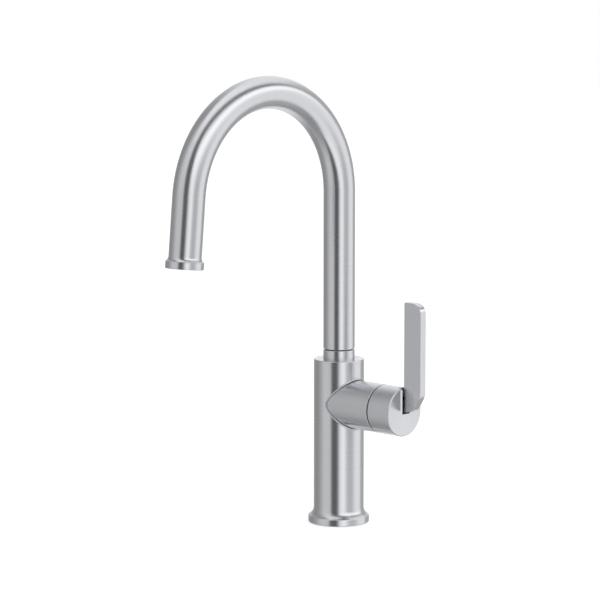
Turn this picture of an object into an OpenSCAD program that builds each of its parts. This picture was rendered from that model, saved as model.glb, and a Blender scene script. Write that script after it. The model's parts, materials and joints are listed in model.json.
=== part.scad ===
// Gooseneck bar faucet: a round column on the deck, a swivelling gooseneck spout
// and a side valve worked by an upright blade lever.
// Frame: +Z up, origin at the centre of the foot where the stud enters. The spout
// points along -Y at rest, and the side valve's axis runs along +X.

/* [Body column] */
// Diameter of the body column
body_d = 40; // [39:0.1:41]
// Height of the column's flat top above the deck
body_h = 131; // [129:0.5:134]
// Wall of the column
body_wall = 3; // [2.8:0.1:3.2]
// Thickness of the column's top plate
body_top_t = 5; // [4:0.5:5.5]
// Diameter of the foot flange
flange_d = 48.7; // [48:0.1:50]
// Radius of the hollow blend between flange and column
flange_blend_r = 7.4; // [7:0.1:7.8]
// Height at which the hollow blend ends on the column
flange_blend_z = 12.2; // [12:0.1:13]
// Chamfer on the column's top edge and the flange's bottom edge
edge_chamfer = 0.6; // [0.4:0.1:0.8]

/* [Spout] */
// Diameter of the spout tube and of the neck below it
tube_d = 25; // [24.6:0.1:25.4]
// Wall of the spout tube
tube_wall = 1.5; // [1.2:0.1:1.6]
// Height of the seam between the fixed neck and the turning spout
swivel_seam_z = 138.8; // [138:0.1:140]
// Height of the groove at that seam
swivel_gap = 0.8; // [0.7:0.1:1]
// Height at which the straight riser ends and the arc begins
riser_top_z = 262.9; // [250:0.5:275]
// Radius of the arc, to the tube's centre
arc_r = 81.2; // [76:0.2:86]
// Angle that the arc turns through
arc_angle = 174.6; // [170:0.2:178]
// Length of the straight leg after the arc, to the outlet's lip
leg_length = 53.7; // [48:0.1:60]
// Diameter of the outlet's end band
outlet_d = 29.2; // [28.8:0.1:29.6]
// Height of the outlet's end band
outlet_band_h = 5; // [4.5:0.1:5.5]
// Height of the flare between the tube and the end band
outlet_flare_h = 4.2; // [4:0.1:4.6]

/* [Side valve and handle] */
// Height of the side valve's axis
valve_z = 96.4; // [94:0.2:98]
// Diameter of the side sleeve and of the handle hub
hub_d = 38.3; // [38:0.1:38.5]
// Distance from the column's axis to the seam between sleeve and hub
hub_seam_x = 47.5; // [47.3:0.1:47.7]
// Width of that seam
hub_gap = 1; // [0.8:0.1:1.2]
// Distance from the column's axis to the hub's flat end
hub_end_x = 69.9; // [69.5:0.1:71]
// Chamfer on the edges of sleeve and hub
hub_chamfer = 0.9; // [0.7:0.1:1]
// Width of the lever blade
blade_w = 16.9; // [16:0.1:19]
// Thickness of the lever blade
blade_t = 6.5; // [6.2:0.1:6.6]
// Height of the lever's top above the valve axis
blade_top = 86; // [78:0.2:95]
// Radius of the blade's upper outer corner
blade_top_r = 8; // [6:0.5:8]
// How far the blade's middle stands behind the valve axis
blade_side = 1.4; // [0:0.1:1.6]
// Slope of the blade's lower edge beside the hub
blade_low_slope = 8; // [6:0.5:9]
// Slope of the cut across the blade's lower outer corner
blade_cut_slope = 58; // [50:1:60]
// Travel of the lever from closed to full flow
lever_travel = 20; // [18:0.5:20]

/* [Inlets] */
// Distance of each supply socket from the middle of the foot
inlet_offset = 10.5; // [10.3:0.1:10.6]
// Diameter of the thread in each supply socket
inlet_thread_d = 10; // [9.8:0.1:10]
// Depth of each supply socket
inlet_depth = 10; // [9:0.5:11]
// Diameter of the thread for the mounting stud
stud_thread_d = 8; // [7.8:0.1:8]
// Depth of the thread for the mounting stud
stud_depth = 12; // [11:0.5:13]

/* [Hidden] */
$fn = 96;
// Added to a cut so that it runs clear of the face it opens
over = 1;
// The straight leg runs this far back into the bend, a hair smaller all round
leg_lap = 1;
leg_step = 0.02;
// Radial clearance of a running fit
run_gap = 0.05;
// Clearance between parts that pass without touching
free_gap = 0.3;

// Radii of the main tubes
body_r = body_d / 2;
bore_r = body_r - body_wall;
flange_r = flange_d / 2;
tube_r = tube_d / 2;
tube_in_r = tube_r - tube_wall;
hub_r = hub_d / 2;
outlet_r = outlet_d / 2;

// Foot
base_block_h = 16;
gasket_in_r = 18.5;
gasket_out_r = 21.5;
gasket_t = 2;

// Supply tubes inside the column
supply_r = 4;
supply_in_r = 3.2;
supply_into_core = 8;

// Waterway core inside the column
core_r = bore_r - 0.1;
core_low_z = 68;
core_top_z = 119;
core_link_z = 73;
core_link_r = 1.8;
core_riser_r = 2.4;

// Ports, measured from the valve axis
port_y = 5.5;
port_z = -2.5;
port_r = 2;
mix_z = 6;
mix_r = 2.8;
mix_riser_r = 4;

// Neck and swivel post
post_r = 9.5;
post_in_r = 6.5;
post_flange_t = 4;
post_top_z = swivel_seam_z + 39;
neck_flange_r = 15;
neck_low_z = core_top_z + post_flange_t;
neck_top_z = swivel_seam_z - swivel_gap / 2;
neck_chamfer = 0.3;

// Spout foot and the rings that run in it
foot_low_z = swivel_seam_z + swivel_gap / 2;
foot_top_z = foot_low_z + 33;
foot_bore_r = post_r + run_gap;
bearing_h = 3;
bearing_in_r = 8.7;
bearing_low_z = foot_low_z + 3;
bearing_high_z = foot_top_z - 6;
o_ring_section_r = 0.85;
o_ring_groove_h = 2.2;
o_ring_groove_r = post_r - 2 * o_ring_section_r;
o_ring_low_z = foot_low_z + 10;
o_ring_high_z = foot_top_z - 11;
clip_z = foot_top_z + free_gap;
clip_t = 1.2;
clip_in_r = 8.6;
clip_out_r = 10.6;

// Outlet, measured down the leg from the end of the arc
collar_h = outlet_band_h + outlet_flare_h;
collar_s = leg_length - collar_h;
spigot_h = 6;
collar_way_r = 9.6;
insert_thread_r = 10.75;
insert_seat_s = collar_s + 1;
insert_washer_t = 1.6;
insert_s = insert_seat_s + insert_washer_t;
insert_end_s = leg_length - 0.5;
insert_in_r = 8.8;
screen_t = 1.6;
screen_pitch = 3.3;
screen_hole_r = 1.6;

// Stations along the valve axis
sleeve_x = 5;
sleeve_bore_r = 15;
sleeve_floor_x = 16;
sleeve_end_x = hub_seam_x - hub_gap / 2;
saddle_gap = 0.25;
seal_t = 1;
housing_x = sleeve_floor_x + seal_t;
housing_floor_t = 3;
housing_wall_x = 41.5;
housing_in_r = 13;
disc_t = 4;
disc_x = housing_x + housing_floor_t;
moving_disc_x = disc_x + disc_t + run_gap;
moving_disc_r = 10.5;
carrier_x = moving_disc_x + disc_t;
carrier_end_x = 38.5;
carrier_r = 10.8;
rotor_x = carrier_end_x + free_gap;
rotor_flange_t = 2.4;
rotor_flange_r = housing_in_r - free_gap;
rotor_neck_r = 9.5;
rotor_end_x = 55;
rotor_way_r = 5;
cap_t = 2;
nut_in_r = 11;
nut_end_x = sleeve_end_x - 0.4;
glide_in_r = 15.6;
glide_out_r = hub_r - 1.3;
hub_x = hub_seam_x + hub_gap / 2;

// Keys that turn the carrier with the rotor and let it slide
key_y = 7.5;
key_w = 1.8;
key_h = 12;
key_depth = 2;
key_gap = 0.15;

// Stem: it rocks on its pin, and its two balls move opposite ways
stem_x = 45.5;
stem_r = 2.4;
stem_eye_r = 3.4;
stem_ball_r = 2;
stem_tip_r = 2.2;
stem_in_len = 9;
stem_out_len = 8;
stem_rest = lever_travel / 2;
pin_r = 1.5;
socket_gap = 0.15;
carrier_rise = stem_in_len * sin(stem_rest);

// Lever and its place in the hub
lever_x = stem_x + 2 * stem_out_len;
blade_x = hub_end_x + 0.6;
blade_out_x = blade_x + blade_w;
blade_low_z = 0.26;
blade_turn = 9.1;
blade_turn_r = 8;
blade_foot_r = 10;
lever_gap = 0.6;
tail_half_w = blade_t / 2;
blade_low_y = blade_side - blade_t / 2;
blade_high_y = blade_side + blade_t / 2;
slot_low_y = blade_low_y - 1.65;
slot_high_y = blade_high_y + 0.3;
slot_floor = -1.45;
slot_x = 66;
lip_h = 0.9;
lip_w = 1.25;
pocket_x = 50;
pocket_end_x = 67;
pocket_low = -7;
pocket_high = 11.5;
eye_r = 4;
tail_h = 4;
tail_end = stem_out_len + 1.7;
tang_top = 9;
lever_pin_low_y = -12;
lever_pin_high_y = 14;
set_screw_x = 52;
set_screw_r = 2.5;
set_screw_out_y = 16;

STEEL = [0.74, 0.74, 0.75];
BRASS = [0.80, 0.68, 0.40];
COPPER = [0.78, 0.48, 0.34];
RUBBER = [0.12, 0.12, 0.13];
WHITE = [0.92, 0.92, 0.90];
GREY = [0.45, 0.46, 0.48];
CERAMIC = [0.94, 0.93, 0.88];

// A disc or ring about the column's axis, from z0 to z1
module z_ring(outer, inner, z0, z1) {
    translate([0, 0, z0])
        difference() {
            cylinder(r = outer, h = z1 - z0);
            if (inner > 0)
                translate([0, 0, -over])
                    cylinder(r = inner, h = z1 - z0 + 2 * over);
        }
}

// A rod along the valve axis, from x0 to x1, moved off it by dy and dz
module x_rod(r, x0, x1, dy = 0, dz = 0) {
    translate([x0, dy, valve_z + dz])
        rotate([0, 90, 0])
            cylinder(r = r, h = x1 - x0);
}

// A ring about the valve axis, from x0 to x1
module x_ring(outer, inner, x0, x1) {
    difference() {
        x_rod(outer, x0, x1);
        x_rod(inner, x0 - over, x1 + over);
    }
}

// A rod along Y at the given x and height above the valve axis
module y_rod(r, y0, y1, x, dz = 0) {
    translate([x, y0, valve_z + dz])
        rotate([-90, 0, 0])
            cylinder(r = r, h = y1 - y0);
}

// A rod along the column's axis with 45 degree chamfers at the chosen ends
module turned_rod(r, length, low_chamfer = 0, high_chamfer = 0) {
    rotate_extrude()
        polygon([[0, 0], [r - low_chamfer, 0], [r, low_chamfer],
            [r, length - high_chamfer], [r - high_chamfer, length], [0, length]]);
}

// The same along the valve axis, starting at x0
module turned_x_rod(r, x0, x1, low_chamfer = 0, high_chamfer = 0) {
    translate([x0, 0, valve_z])
        rotate([0, 90, 0])
            turned_rod(r, x1 - x0, low_chamfer, high_chamfer);
}

// Puts a child at distance s down the straight leg, pointing along it
module on_leg(s) {
    translate([0, -arc_r, riser_top_z])
        rotate([arc_angle, 0, 0])
            translate([0, arc_r, s])
                children();
}

// The gooseneck's path at radius r, with its ends run on by extra
module gooseneck(r, extra) {
    translate([0, 0, foot_low_z - extra])
        cylinder(r = r, h = riser_top_z - foot_low_z + extra);
    translate([0, -arc_r, riser_top_z])
        rotate([90, 0, 90])
            rotate_extrude(angle = arc_angle)
                translate([arc_r, 0])
                    circle(r = r);
    on_leg(-leg_lap)
        cylinder(r = r - leg_step, h = collar_s + leg_lap + extra);
}

// The ports for hot, cold and mixed water, from x0 to x1
module port_cuts(x0, x1) {
    for (side = [-1, 1])
        x_rod(port_r, x0, x1, side * port_y, port_z);
    x_rod(mix_r, x0, x1, 0, mix_z);
}

// Half section of the column and its foot flange
module column_section() {
    square([body_r, body_h - edge_chamfer]);
    translate([0, body_h - edge_chamfer])
        polygon([[0, 0], [body_r, 0], [body_r - edge_chamfer, edge_chamfer], [0, edge_chamfer]]);
    difference() {
        translate([0, edge_chamfer])
            square([flange_r, flange_blend_z - edge_chamfer]);
        translate([body_r + flange_blend_r, flange_blend_z])
            circle(r = flange_blend_r);
    }
    polygon([[0, 0], [flange_r - edge_chamfer, 0], [flange_r, edge_chamfer], [0, edge_chamfer]]);
}

module body_shell() {
    color(STEEL)
        difference() {
            rotate_extrude()
                column_section();
            translate([0, 0, -over])
                cylinder(r = bore_r, h = body_h - body_top_t + over);
            cylinder(r = tube_r, h = body_h + over);
            z_ring(gasket_out_r, gasket_in_r, -over, gasket_t);
            x_rod(hub_r + saddle_gap, sleeve_x - free_gap, body_r + over);
        }
}

module base_block() {
    color(BRASS)
        difference() {
            cylinder(r = bore_r, h = base_block_h);
            translate([0, 0, -over])
                cylinder(r = stud_thread_d / 2, h = stud_depth + over);
            for (side = [-1, 1])
                translate([side * inlet_offset, 0, 0]) {
                    translate([0, 0, -over])
                        cylinder(r = inlet_thread_d / 2, h = inlet_depth + over);
                    cylinder(r = supply_r, h = base_block_h + over);
                }
        }
}

module base_gasket() {
    color(RUBBER)
        z_ring(gasket_out_r, gasket_in_r, 0, gasket_t);
}

// A supply tube from its socket in the foot up into the core
module supply_tube(side) {
    color(COPPER)
        translate([side * inlet_offset, 0, 0])
            z_ring(supply_r, supply_in_r, inlet_depth, core_low_z + supply_into_core);
}

module hot_inlet_tube() {
    supply_tube(-1);
}

module cold_inlet_tube() {
    supply_tube(1);
}

// The passage in the core from one supply tube to its port
module supply_passage(side) {
    link = sqrt(pow(inlet_offset, 2) + pow(port_y, 2));
    translate([side * inlet_offset, 0, core_low_z - over])
        cylinder(r = supply_r, h = supply_into_core + over);
    translate([0, side * port_y, core_link_z])
        rotate([0, 0, -side * atan2(port_y, side * inlet_offset)])
            rotate([0, 90, 0])
                cylinder(r = core_link_r, h = link);
    translate([0, side * port_y, core_link_z - core_riser_r])
        cylinder(r = core_riser_r, h = valve_z + port_z - core_link_z + 2 * core_riser_r);
}

module waterway_core() {
    mix_low_z = valve_z + mix_z - mix_r - 0.4;
    color(BRASS)
        difference() {
            z_ring(core_r, 0, core_low_z, core_top_z);
            x_rod(hub_r + saddle_gap, sleeve_x, body_r + over);
            for (side = [-1, 1])
                supply_passage(side);
            port_cuts(-0.5, sleeve_x + over);
            translate([0, 0, mix_low_z])
                cylinder(r = mix_riser_r, h = core_top_z - mix_low_z + over);
        }
}

module valve_sleeve() {
    color(STEEL)
        difference() {
            turned_x_rod(hub_r, sleeve_x, sleeve_end_x, 0, hub_chamfer);
            x_rod(sleeve_bore_r, sleeve_floor_x, sleeve_end_x + over);
            port_cuts(sleeve_x - over, sleeve_floor_x + over);
        }
}

// A rubber ring round each port, squeezed under the cartridge
module cartridge_seals() {
    seal_w = 1.2;
    color(RUBBER)
        for (port = [[-port_y, port_z, port_r], [port_y, port_z, port_r], [0, mix_z, mix_r]])
            translate([0, port[0], port[1]])
                x_ring(port[2] + seal_w, port[2], sleeve_floor_x, housing_x);
}

module cartridge_housing() {
    color(WHITE)
        difference() {
            x_rod(sleeve_bore_r, housing_x, housing_wall_x);
            x_rod(housing_in_r, disc_x, housing_wall_x + over);
            port_cuts(housing_x - over, disc_x + over);
        }
}

module fixed_ceramic_disc() {
    color(CERAMIC)
        difference() {
            x_rod(housing_in_r, disc_x, disc_x + disc_t);
            port_cuts(disc_x - over, disc_x + disc_t + over);
        }
}

module cartridge_cap() {
    color(GREY)
        x_ring(sleeve_bore_r, rotor_neck_r + run_gap, housing_wall_x, housing_wall_x + cap_t);
}

module cartridge_retaining_nut() {
    key_cut_w = 3;
    key_cut_depth = 1.5;
    color(BRASS)
        difference() {
            x_ring(sleeve_bore_r, nut_in_r, housing_wall_x + cap_t, nut_end_x);
            for (turn = [0, 90])
                translate([nut_end_x, 0, valve_z])
                    rotate([turn, 0, 0])
                        cube([2 * key_cut_depth, 3 * sleeve_bore_r, key_cut_w], center = true);
        }
}

module hub_glide_ring() {
    color(GREY)
        x_ring(glide_out_r, glide_in_r, sleeve_end_x, hub_x - free_gap);
}

// A ring-shaped groove cut into the swivel post
module post_groove(inner, z0, h) {
    z_ring(post_r + over, inner, z0, z0 + h);
}

module swivel_post() {
    color(BRASS)
        difference() {
            union() {
                z_ring(core_r, 0, core_top_z, core_top_z + post_flange_t);
                z_ring(post_r, 0, core_top_z, post_top_z);
            }
            z_ring(post_in_r, 0, core_top_z - over, post_top_z + over);
            for (z = [o_ring_low_z, o_ring_high_z])
                post_groove(o_ring_groove_r, z - o_ring_groove_h / 2, o_ring_groove_h);
            for (z = [bearing_low_z, bearing_high_z])
                post_groove(bearing_in_r, z, bearing_h);
            post_groove(clip_in_r, clip_z, clip_t);
        }
}

module neck_collar() {
    color(STEEL)
        difference() {
            union() {
                z_ring(neck_flange_r, 0, neck_low_z, body_h - body_top_t);
                translate([0, 0, neck_low_z])
                    turned_rod(tube_r, neck_top_z - neck_low_z, 0, neck_chamfer);
            }
            z_ring(post_r, 0, neck_low_z - over, neck_top_z + over);
        }
}

module spout_thrust_washer() {
    color(GREY)
        z_ring(tube_in_r, post_r, neck_top_z, foot_low_z - free_gap);
}

module spout_bearing_lower() {
    color(WHITE)
        z_ring(post_r, bearing_in_r, bearing_low_z, bearing_low_z + bearing_h);
}

module spout_bearing_upper() {
    color(WHITE)
        z_ring(post_r, bearing_in_r, bearing_high_z, bearing_high_z + bearing_h);
}

// A round rubber ring in a groove of the swivel post
module post_o_ring(z) {
    color(RUBBER)
        translate([0, 0, z])
            rotate_extrude()
                translate([post_r - o_ring_section_r, 0])
                    circle(r = o_ring_section_r, $fn = 32);
}

module spout_o_ring_lower() {
    post_o_ring(o_ring_low_z);
}

module spout_o_ring_upper() {
    post_o_ring(o_ring_high_z);
}

// A snap ring with a gap at the back, above the spout's foot
module spout_retaining_ring() {
    clip_opening = 5;
    color(STEEL)
        difference() {
            z_ring(clip_out_r, clip_in_r, clip_z, clip_z + clip_t);
            translate([-clip_opening / 2, 0, clip_z - over])
                cube([clip_opening, clip_out_r + over, clip_t + 2 * over]);
        }
}

module spout_tube() {
    color(STEEL)
        difference() {
            gooseneck(tube_r, 0);
            gooseneck(tube_in_r, over);
        }
}

module spout_foot() {
    color(BRASS)
        z_ring(tube_in_r, foot_bore_r, foot_low_z, foot_top_z);
}

// Half section of the outlet collar: spigot, flare and end band
module outlet_section() {
    flare_w = outlet_r - tube_r;
    translate([0, -spigot_h])
        square([tube_in_r - leg_step, spigot_h]);
    square([tube_r, collar_h]);
    translate([0, outlet_flare_h])
        square([outlet_r, outlet_band_h]);
    difference() {
        translate([tube_r, 0])
            square([flare_w, outlet_flare_h]);
        translate([tube_r + outlet_flare_h, 0])
            circle(r = outlet_flare_h);
    }
}

module outlet_collar() {
    color(STEEL)
        on_leg(collar_s)
            difference() {
                rotate_extrude()
                    outlet_section();
                translate([0, 0, -spigot_h - over])
                    cylinder(r = collar_way_r, h = spigot_h + collar_h);
                translate([0, 0, insert_seat_s - collar_s])
                    cylinder(r = insert_thread_r, h = collar_h);
            }
}

module aerator_washer() {
    color(RUBBER)
        on_leg(insert_seat_s)
            z_ring(insert_thread_r, collar_way_r - 1, 0, insert_washer_t);
}

module aerator_housing() {
    color(GREY)
        on_leg(insert_s)
            z_ring(insert_thread_r, insert_in_r, 0, insert_end_s - insert_s);
}

// A disc that meters the flow through a ring of small holes
module flow_regulator() {
    hole_count = 8;
    hole_circle_r = 5.5;
    color(WHITE)
        on_leg(insert_s)
            difference() {
                cylinder(r = insert_in_r, h = 2);
                for (i = [0 : hole_count - 1])
                    rotate([0, 0, i * 360 / hole_count])
                        translate([hole_circle_r, 0, -over])
                            cylinder(r = 0.9, h = 4, $fn = 24);
            }
}

// The honeycomb screen at the outlet
module aerator_screen() {
    rows = 2;
    row_step = screen_pitch * sin(60);
    color(GREY)
        on_leg(insert_end_s - 0.4 - screen_t)
            difference() {
                cylinder(r = insert_in_r, h = screen_t);
                for (row = [-rows : rows])
                    for (i = [0 : 2 * rows - abs(row)])
                        translate([(i - rows + abs(row) / 2) * screen_pitch, row * row_step, -over])
                            rotate([0, 0, 30])
                                cylinder(r = screen_hole_r, h = screen_t + 2 * over, $fn = 6);
            }
}

// Low lips that stand along the two sides of the lever's slot
module slot_lips() {
    root = 0.4;
    crest = 0.15;
    intersection() {
        x_rod(hub_r - hub_chamfer, hub_end_x - root, hub_end_x + lip_h + over);
        for (edge = [[slot_low_y, -1], [slot_high_y, 1]])
            translate([hub_end_x, edge[0], valve_z + slot_floor])
                linear_extrude(height = hub_r)
                    polygon([[-root, 0], [lip_h, 0], [lip_h, edge[1] * crest],
                        [0, edge[1] * lip_w], [-root, edge[1] * lip_w]]);
    }
}

module handle_hub() {
    color(STEEL)
        difference() {
            union() {
                turned_x_rod(hub_r, hub_x, hub_end_x, hub_chamfer, hub_chamfer);
                slot_lips();
            }
            x_rod(rotor_neck_r, hub_x - over, rotor_end_x);
            translate([pocket_x, -tail_half_w - lever_gap, valve_z + pocket_low])
                cube([pocket_end_x - pocket_x, tail_half_w + blade_high_y + 2 * lever_gap,
                    pocket_high - pocket_low]);
            translate([slot_x, slot_low_y, valve_z + slot_floor])
                cube([hub_end_x - slot_x + lip_h + over, slot_high_y - slot_low_y, hub_r + over]);
            y_rod(pin_r, lever_pin_low_y, hub_r, lever_x);
            y_rod(set_screw_r, 0, hub_r, set_screw_x);
        }
}

// The turning part of the cartridge: it carries the stem's pin and drives the carrier
module cartridge_rotor() {
    fork_x = 50;
    fork_half_w = 4;
    color(WHITE)
        difference() {
            union() {
                x_rod(rotor_flange_r, rotor_x, rotor_x + rotor_flange_t);
                x_rod(rotor_neck_r, rotor_x, rotor_end_x);
                for (side = [-1, 1])
                    translate([rotor_x - key_depth, side * key_y - key_w / 2, valve_z - key_h / 2])
                        cube([key_depth + over, key_w, key_h]);
            }
            x_rod(rotor_way_r, rotor_x - over, rotor_end_x + over);
            translate([fork_x, -fork_half_w, valve_z - rotor_neck_r - over])
                cube([rotor_end_x, 2 * fork_half_w, 2 * rotor_neck_r + 2 * over]);
            y_rod(pin_r, -rotor_neck_r - over, rotor_neck_r + over, stem_x);
        }
}

module stem_pivot_pin() {
    color(STEEL)
        y_rod(pin_r, -rotor_neck_r + 0.3, rotor_neck_r - 0.3, stem_x);
}

module lever_pivot_pin() {
    color(STEEL)
        y_rod(pin_r, lever_pin_low_y, lever_pin_high_y, lever_x);
}

// A socket screw at the back of the hub that grips the rotor's neck
module hub_set_screw() {
    key_r = 1.45;
    key_depth = 2.5;
    color(GREY)
        difference() {
            y_rod(set_screw_r, rotor_neck_r, set_screw_out_y, set_screw_x);
            translate([set_screw_x, set_screw_out_y - key_depth, valve_z])
                rotate([-90, 0, 0])
                    cylinder(r = key_r, h = key_depth + over, $fn = 6);
        }
}

// What the corner p loses when it is rounded, with q1 and q2 on its two sides
module rounding_cut(p, q1, q2, r) {
    u1 = (q1 - p) / norm(q1 - p);
    u2 = (q2 - p) / norm(q2 - p);
    half = acos(u1 * u2) / 2;
    inward = (u1 + u2) / norm(u1 + u2);
    centre = p + inward * r / sin(half);
    difference() {
        polygon([p + u1 * r / tan(half), p - inward * over, p + u2 * r / tan(half), centre]);
        translate(centre)
            circle(r = r);
    }
}

// Side view of the blade, in x and height above the valve axis
module blade_outline() {
    inner_low = [blade_x, blade_low_z];
    turn = [blade_x + blade_turn, blade_low_z + blade_turn * tan(blade_low_slope)];
    foot = [blade_out_x, turn[1] + (blade_out_x - turn[0]) * tan(blade_cut_slope)];
    outer_top = [blade_out_x, blade_top];
    inner_top = [blade_x, blade_top];
    difference() {
        polygon([inner_low, turn, foot, outer_top, inner_top]);
        rounding_cut(turn, inner_low, foot, blade_turn_r);
        rounding_cut(foot, turn, outer_top, blade_foot_r);
        rounding_cut(outer_top, foot, inner_top, blade_top_r);
    }
}

// Side view of the tang, which runs into the hub to the pivot
module tang_outline() {
    polygon([[blade_x + over, 2.1], [hub_end_x, 1.9], [lever_x + 5, 0.6],
        [lever_x + eye_r * cos(50), -eye_r * sin(50)], [lever_x - eye_r, 0],
        [lever_x - eye_r, 4], [lever_x + 1.5, tang_top], [blade_x + over, tang_top]]);
}

// A flat plate of the lever's thickness, from an outline in x and height
module lever_plate() {
    translate([0, blade_high_y, valve_z])
        rotate([90, 0, 0])
            linear_extrude(height = blade_t)
                children();
}

// The tail behind the pivot, drawn at rest with its end down
module lever_tail(half_w, half_h, length, start = 0) {
    translate([lever_x, 0, valve_z])
        rotate([0, -lever_travel / 2, 0])
            translate([-length, -half_w, -half_h])
                cube([length - start, 2 * half_w, 2 * half_h]);
}

module lever_blade() {
    fork_half_h = stem_tip_r + socket_gap;
    fork_floor = stem_out_len - stem_tip_r - 0.6;
    color(STEEL)
        difference() {
            union() {
                lever_plate()
                    blade_outline();
                lever_plate()
                    tang_outline();
                y_rod(eye_r, -tail_half_w, blade_high_y, lever_x);
                lever_tail(tail_half_w, tail_h, tail_end);
            }
            lever_tail(blade_t, fork_half_h, tail_end + over, fork_floor);
            y_rod(pin_r + run_gap, -blade_t, 2 * blade_t, lever_x);
        }
}

// The rocking stem, drawn at rest with its outer ball down
module cartridge_stem() {
    neck_r = 1.3;
    color(STEEL)
        difference() {
            translate([stem_x, 0, valve_z])
                rotate([0, stem_rest, 0]) {
                    sphere(r = stem_eye_r);
                    translate([-stem_in_len, 0, 0])
                        sphere(r = stem_ball_r);
                    translate([stem_out_len, 0, 0])
                        sphere(r = stem_tip_r);
                    translate([-stem_in_len, 0, 0])
                        rotate([0, 90, 0])
                            cylinder(r = neck_r, h = stem_in_len);
                    rotate([0, 90, 0])
                        cylinder(r = neck_r + 0.2, h = stem_out_len);
                }
            y_rod(pin_r + run_gap, -stem_eye_r - over, stem_eye_r + over, stem_x);
        }
}

// Slides across the rotor and takes the moving disc with it
module disc_carrier() {
    socket_depth = 4.6;
    socket_r = stem_ball_r + socket_gap;
    slot_w = key_w + 2 * key_gap;
    color(WHITE)
        difference() {
            translate([0, 0, carrier_rise])
                x_rod(carrier_r, carrier_x, carrier_end_x);
            x_rod(socket_r, carrier_end_x - socket_depth, carrier_end_x + over, 0, carrier_rise);
            for (side = [-1, 1])
                translate([carrier_end_x - key_depth, side * key_y - slot_w / 2,
                        valve_z - 2 * carrier_r])
                    cube([key_depth + over, slot_w, 4 * carrier_r]);
        }
}

// The disc that opens and mixes: a blind hollow in its face joins the ports
module moving_ceramic_disc() {
    hollow_low = -1.9;
    hollow_high = 7.5;
    hollow_half_w = 6.5;
    hollow_depth = 2;
    color(CERAMIC)
        difference() {
            x_rod(moving_disc_r, moving_disc_x, moving_disc_x + disc_t, 0, carrier_rise);
            translate([moving_disc_x - over, -hollow_half_w, valve_z + carrier_rise + hollow_low])
                cube([hollow_depth + over, 2 * hollow_half_w, hollow_high - hollow_low]);
        }
}

body_shell();
base_block();
base_gasket();
hot_inlet_tube();
cold_inlet_tube();
waterway_core();
valve_sleeve();
cartridge_seals();
cartridge_housing();
fixed_ceramic_disc();
cartridge_cap();
cartridge_retaining_nut();
hub_glide_ring();
swivel_post();
neck_collar();
spout_thrust_washer();
spout_bearing_lower();
spout_bearing_upper();
spout_o_ring_lower();
spout_o_ring_upper();
spout_retaining_ring();
spout_tube();
spout_foot();
outlet_collar();
aerator_washer();
flow_regulator();
aerator_housing();
aerator_screen();
handle_hub();
cartridge_rotor();
stem_pivot_pin();
lever_pivot_pin();
hub_set_screw();
lever_blade();
cartridge_stem();
disc_carrier();
moving_ceramic_disc();
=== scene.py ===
"""Looks of the gooseneck bar faucet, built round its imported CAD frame.

Each sub-assembly is a class that holds its sizes in millimetres and builds its
skins: grids of points worked out with numpy, with the exact normal at every
corner of a facet, so that turned metal reflects smoothly.
"""

import json
import logging
import math
from dataclasses import dataclass, field
from enum import Enum
from typing import Optional, Sequence

import bpy
import numpy as np
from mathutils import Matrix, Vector

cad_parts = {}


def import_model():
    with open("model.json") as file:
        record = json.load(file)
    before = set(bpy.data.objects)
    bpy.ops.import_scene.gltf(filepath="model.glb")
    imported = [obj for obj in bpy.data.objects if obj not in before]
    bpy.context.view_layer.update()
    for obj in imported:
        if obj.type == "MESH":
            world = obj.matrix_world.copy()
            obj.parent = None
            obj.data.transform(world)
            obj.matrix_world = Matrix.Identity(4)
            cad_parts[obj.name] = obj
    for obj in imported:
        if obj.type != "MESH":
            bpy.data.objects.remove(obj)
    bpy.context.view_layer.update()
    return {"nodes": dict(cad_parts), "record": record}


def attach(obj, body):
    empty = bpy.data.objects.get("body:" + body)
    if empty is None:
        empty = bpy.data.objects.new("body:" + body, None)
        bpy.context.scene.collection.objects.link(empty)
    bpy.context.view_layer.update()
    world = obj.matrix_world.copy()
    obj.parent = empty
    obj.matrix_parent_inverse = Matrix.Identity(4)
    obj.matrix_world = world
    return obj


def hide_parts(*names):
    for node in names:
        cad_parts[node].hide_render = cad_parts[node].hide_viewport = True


LOG = logging.getLogger("bar_faucet")
MM = 0.001
TURN = 2 * math.pi
Array = np.ndarray
Triple = tuple[float, float, float]
X_WAY, Y_WAY, Z_WAY = np.eye(3)
WHITE = (1, 1, 1, 1)
# The angles of a piece that is turned all the way round
ROUND = np.linspace(0, TURN, 193)
# The rounding of hidden edges, and of the edges of the foot's bore and the outlet, in mm
INNER_ROUND = 0.2
BORE_ROUND = 0.3
# How finely a brush chart counts: its step across and along, and its lean by radius, per mm
CHART_STEP, CHART_LEAN = 0.01, 0.006


class Body(Enum):
    """The CAD bodies that the pieces ride on."""

    BODY = "body"
    SPOUT = "spout"
    HUB = "hub"
    LEVER = "lever"


class Slot(Enum):
    """The record's material slots."""

    SATIN_NICKEL = "satin_nickel"
    BRASS = "brass"
    COPPER = "copper"
    RUBBER = "rubber"
    WHITE_PLASTIC = "white_plastic"
    GREY_PLASTIC = "grey_plastic"
    CERAMIC = "ceramic"
    BRIGHT_STEEL = "bright_steel"


class Grain(Enum):
    """Which way the brush marks run on a piece."""

    ROUND = "round the axis"
    ALONG = "along the axis"


def unit(vectors: Array) -> Array:
    """Each vector of the last axis divided by its length."""
    return vectors / np.maximum(np.linalg.norm(vectors, axis=-1, keepdims=True), 1e-12)


def cross(a: Array, b: Array) -> Array:
    """The cross product of flat vectors, row by row."""
    return a[:, 0] * b[:, 1] - a[:, 1] * b[:, 0]


# ---------------------------------------------------------------- centre lines


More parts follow.
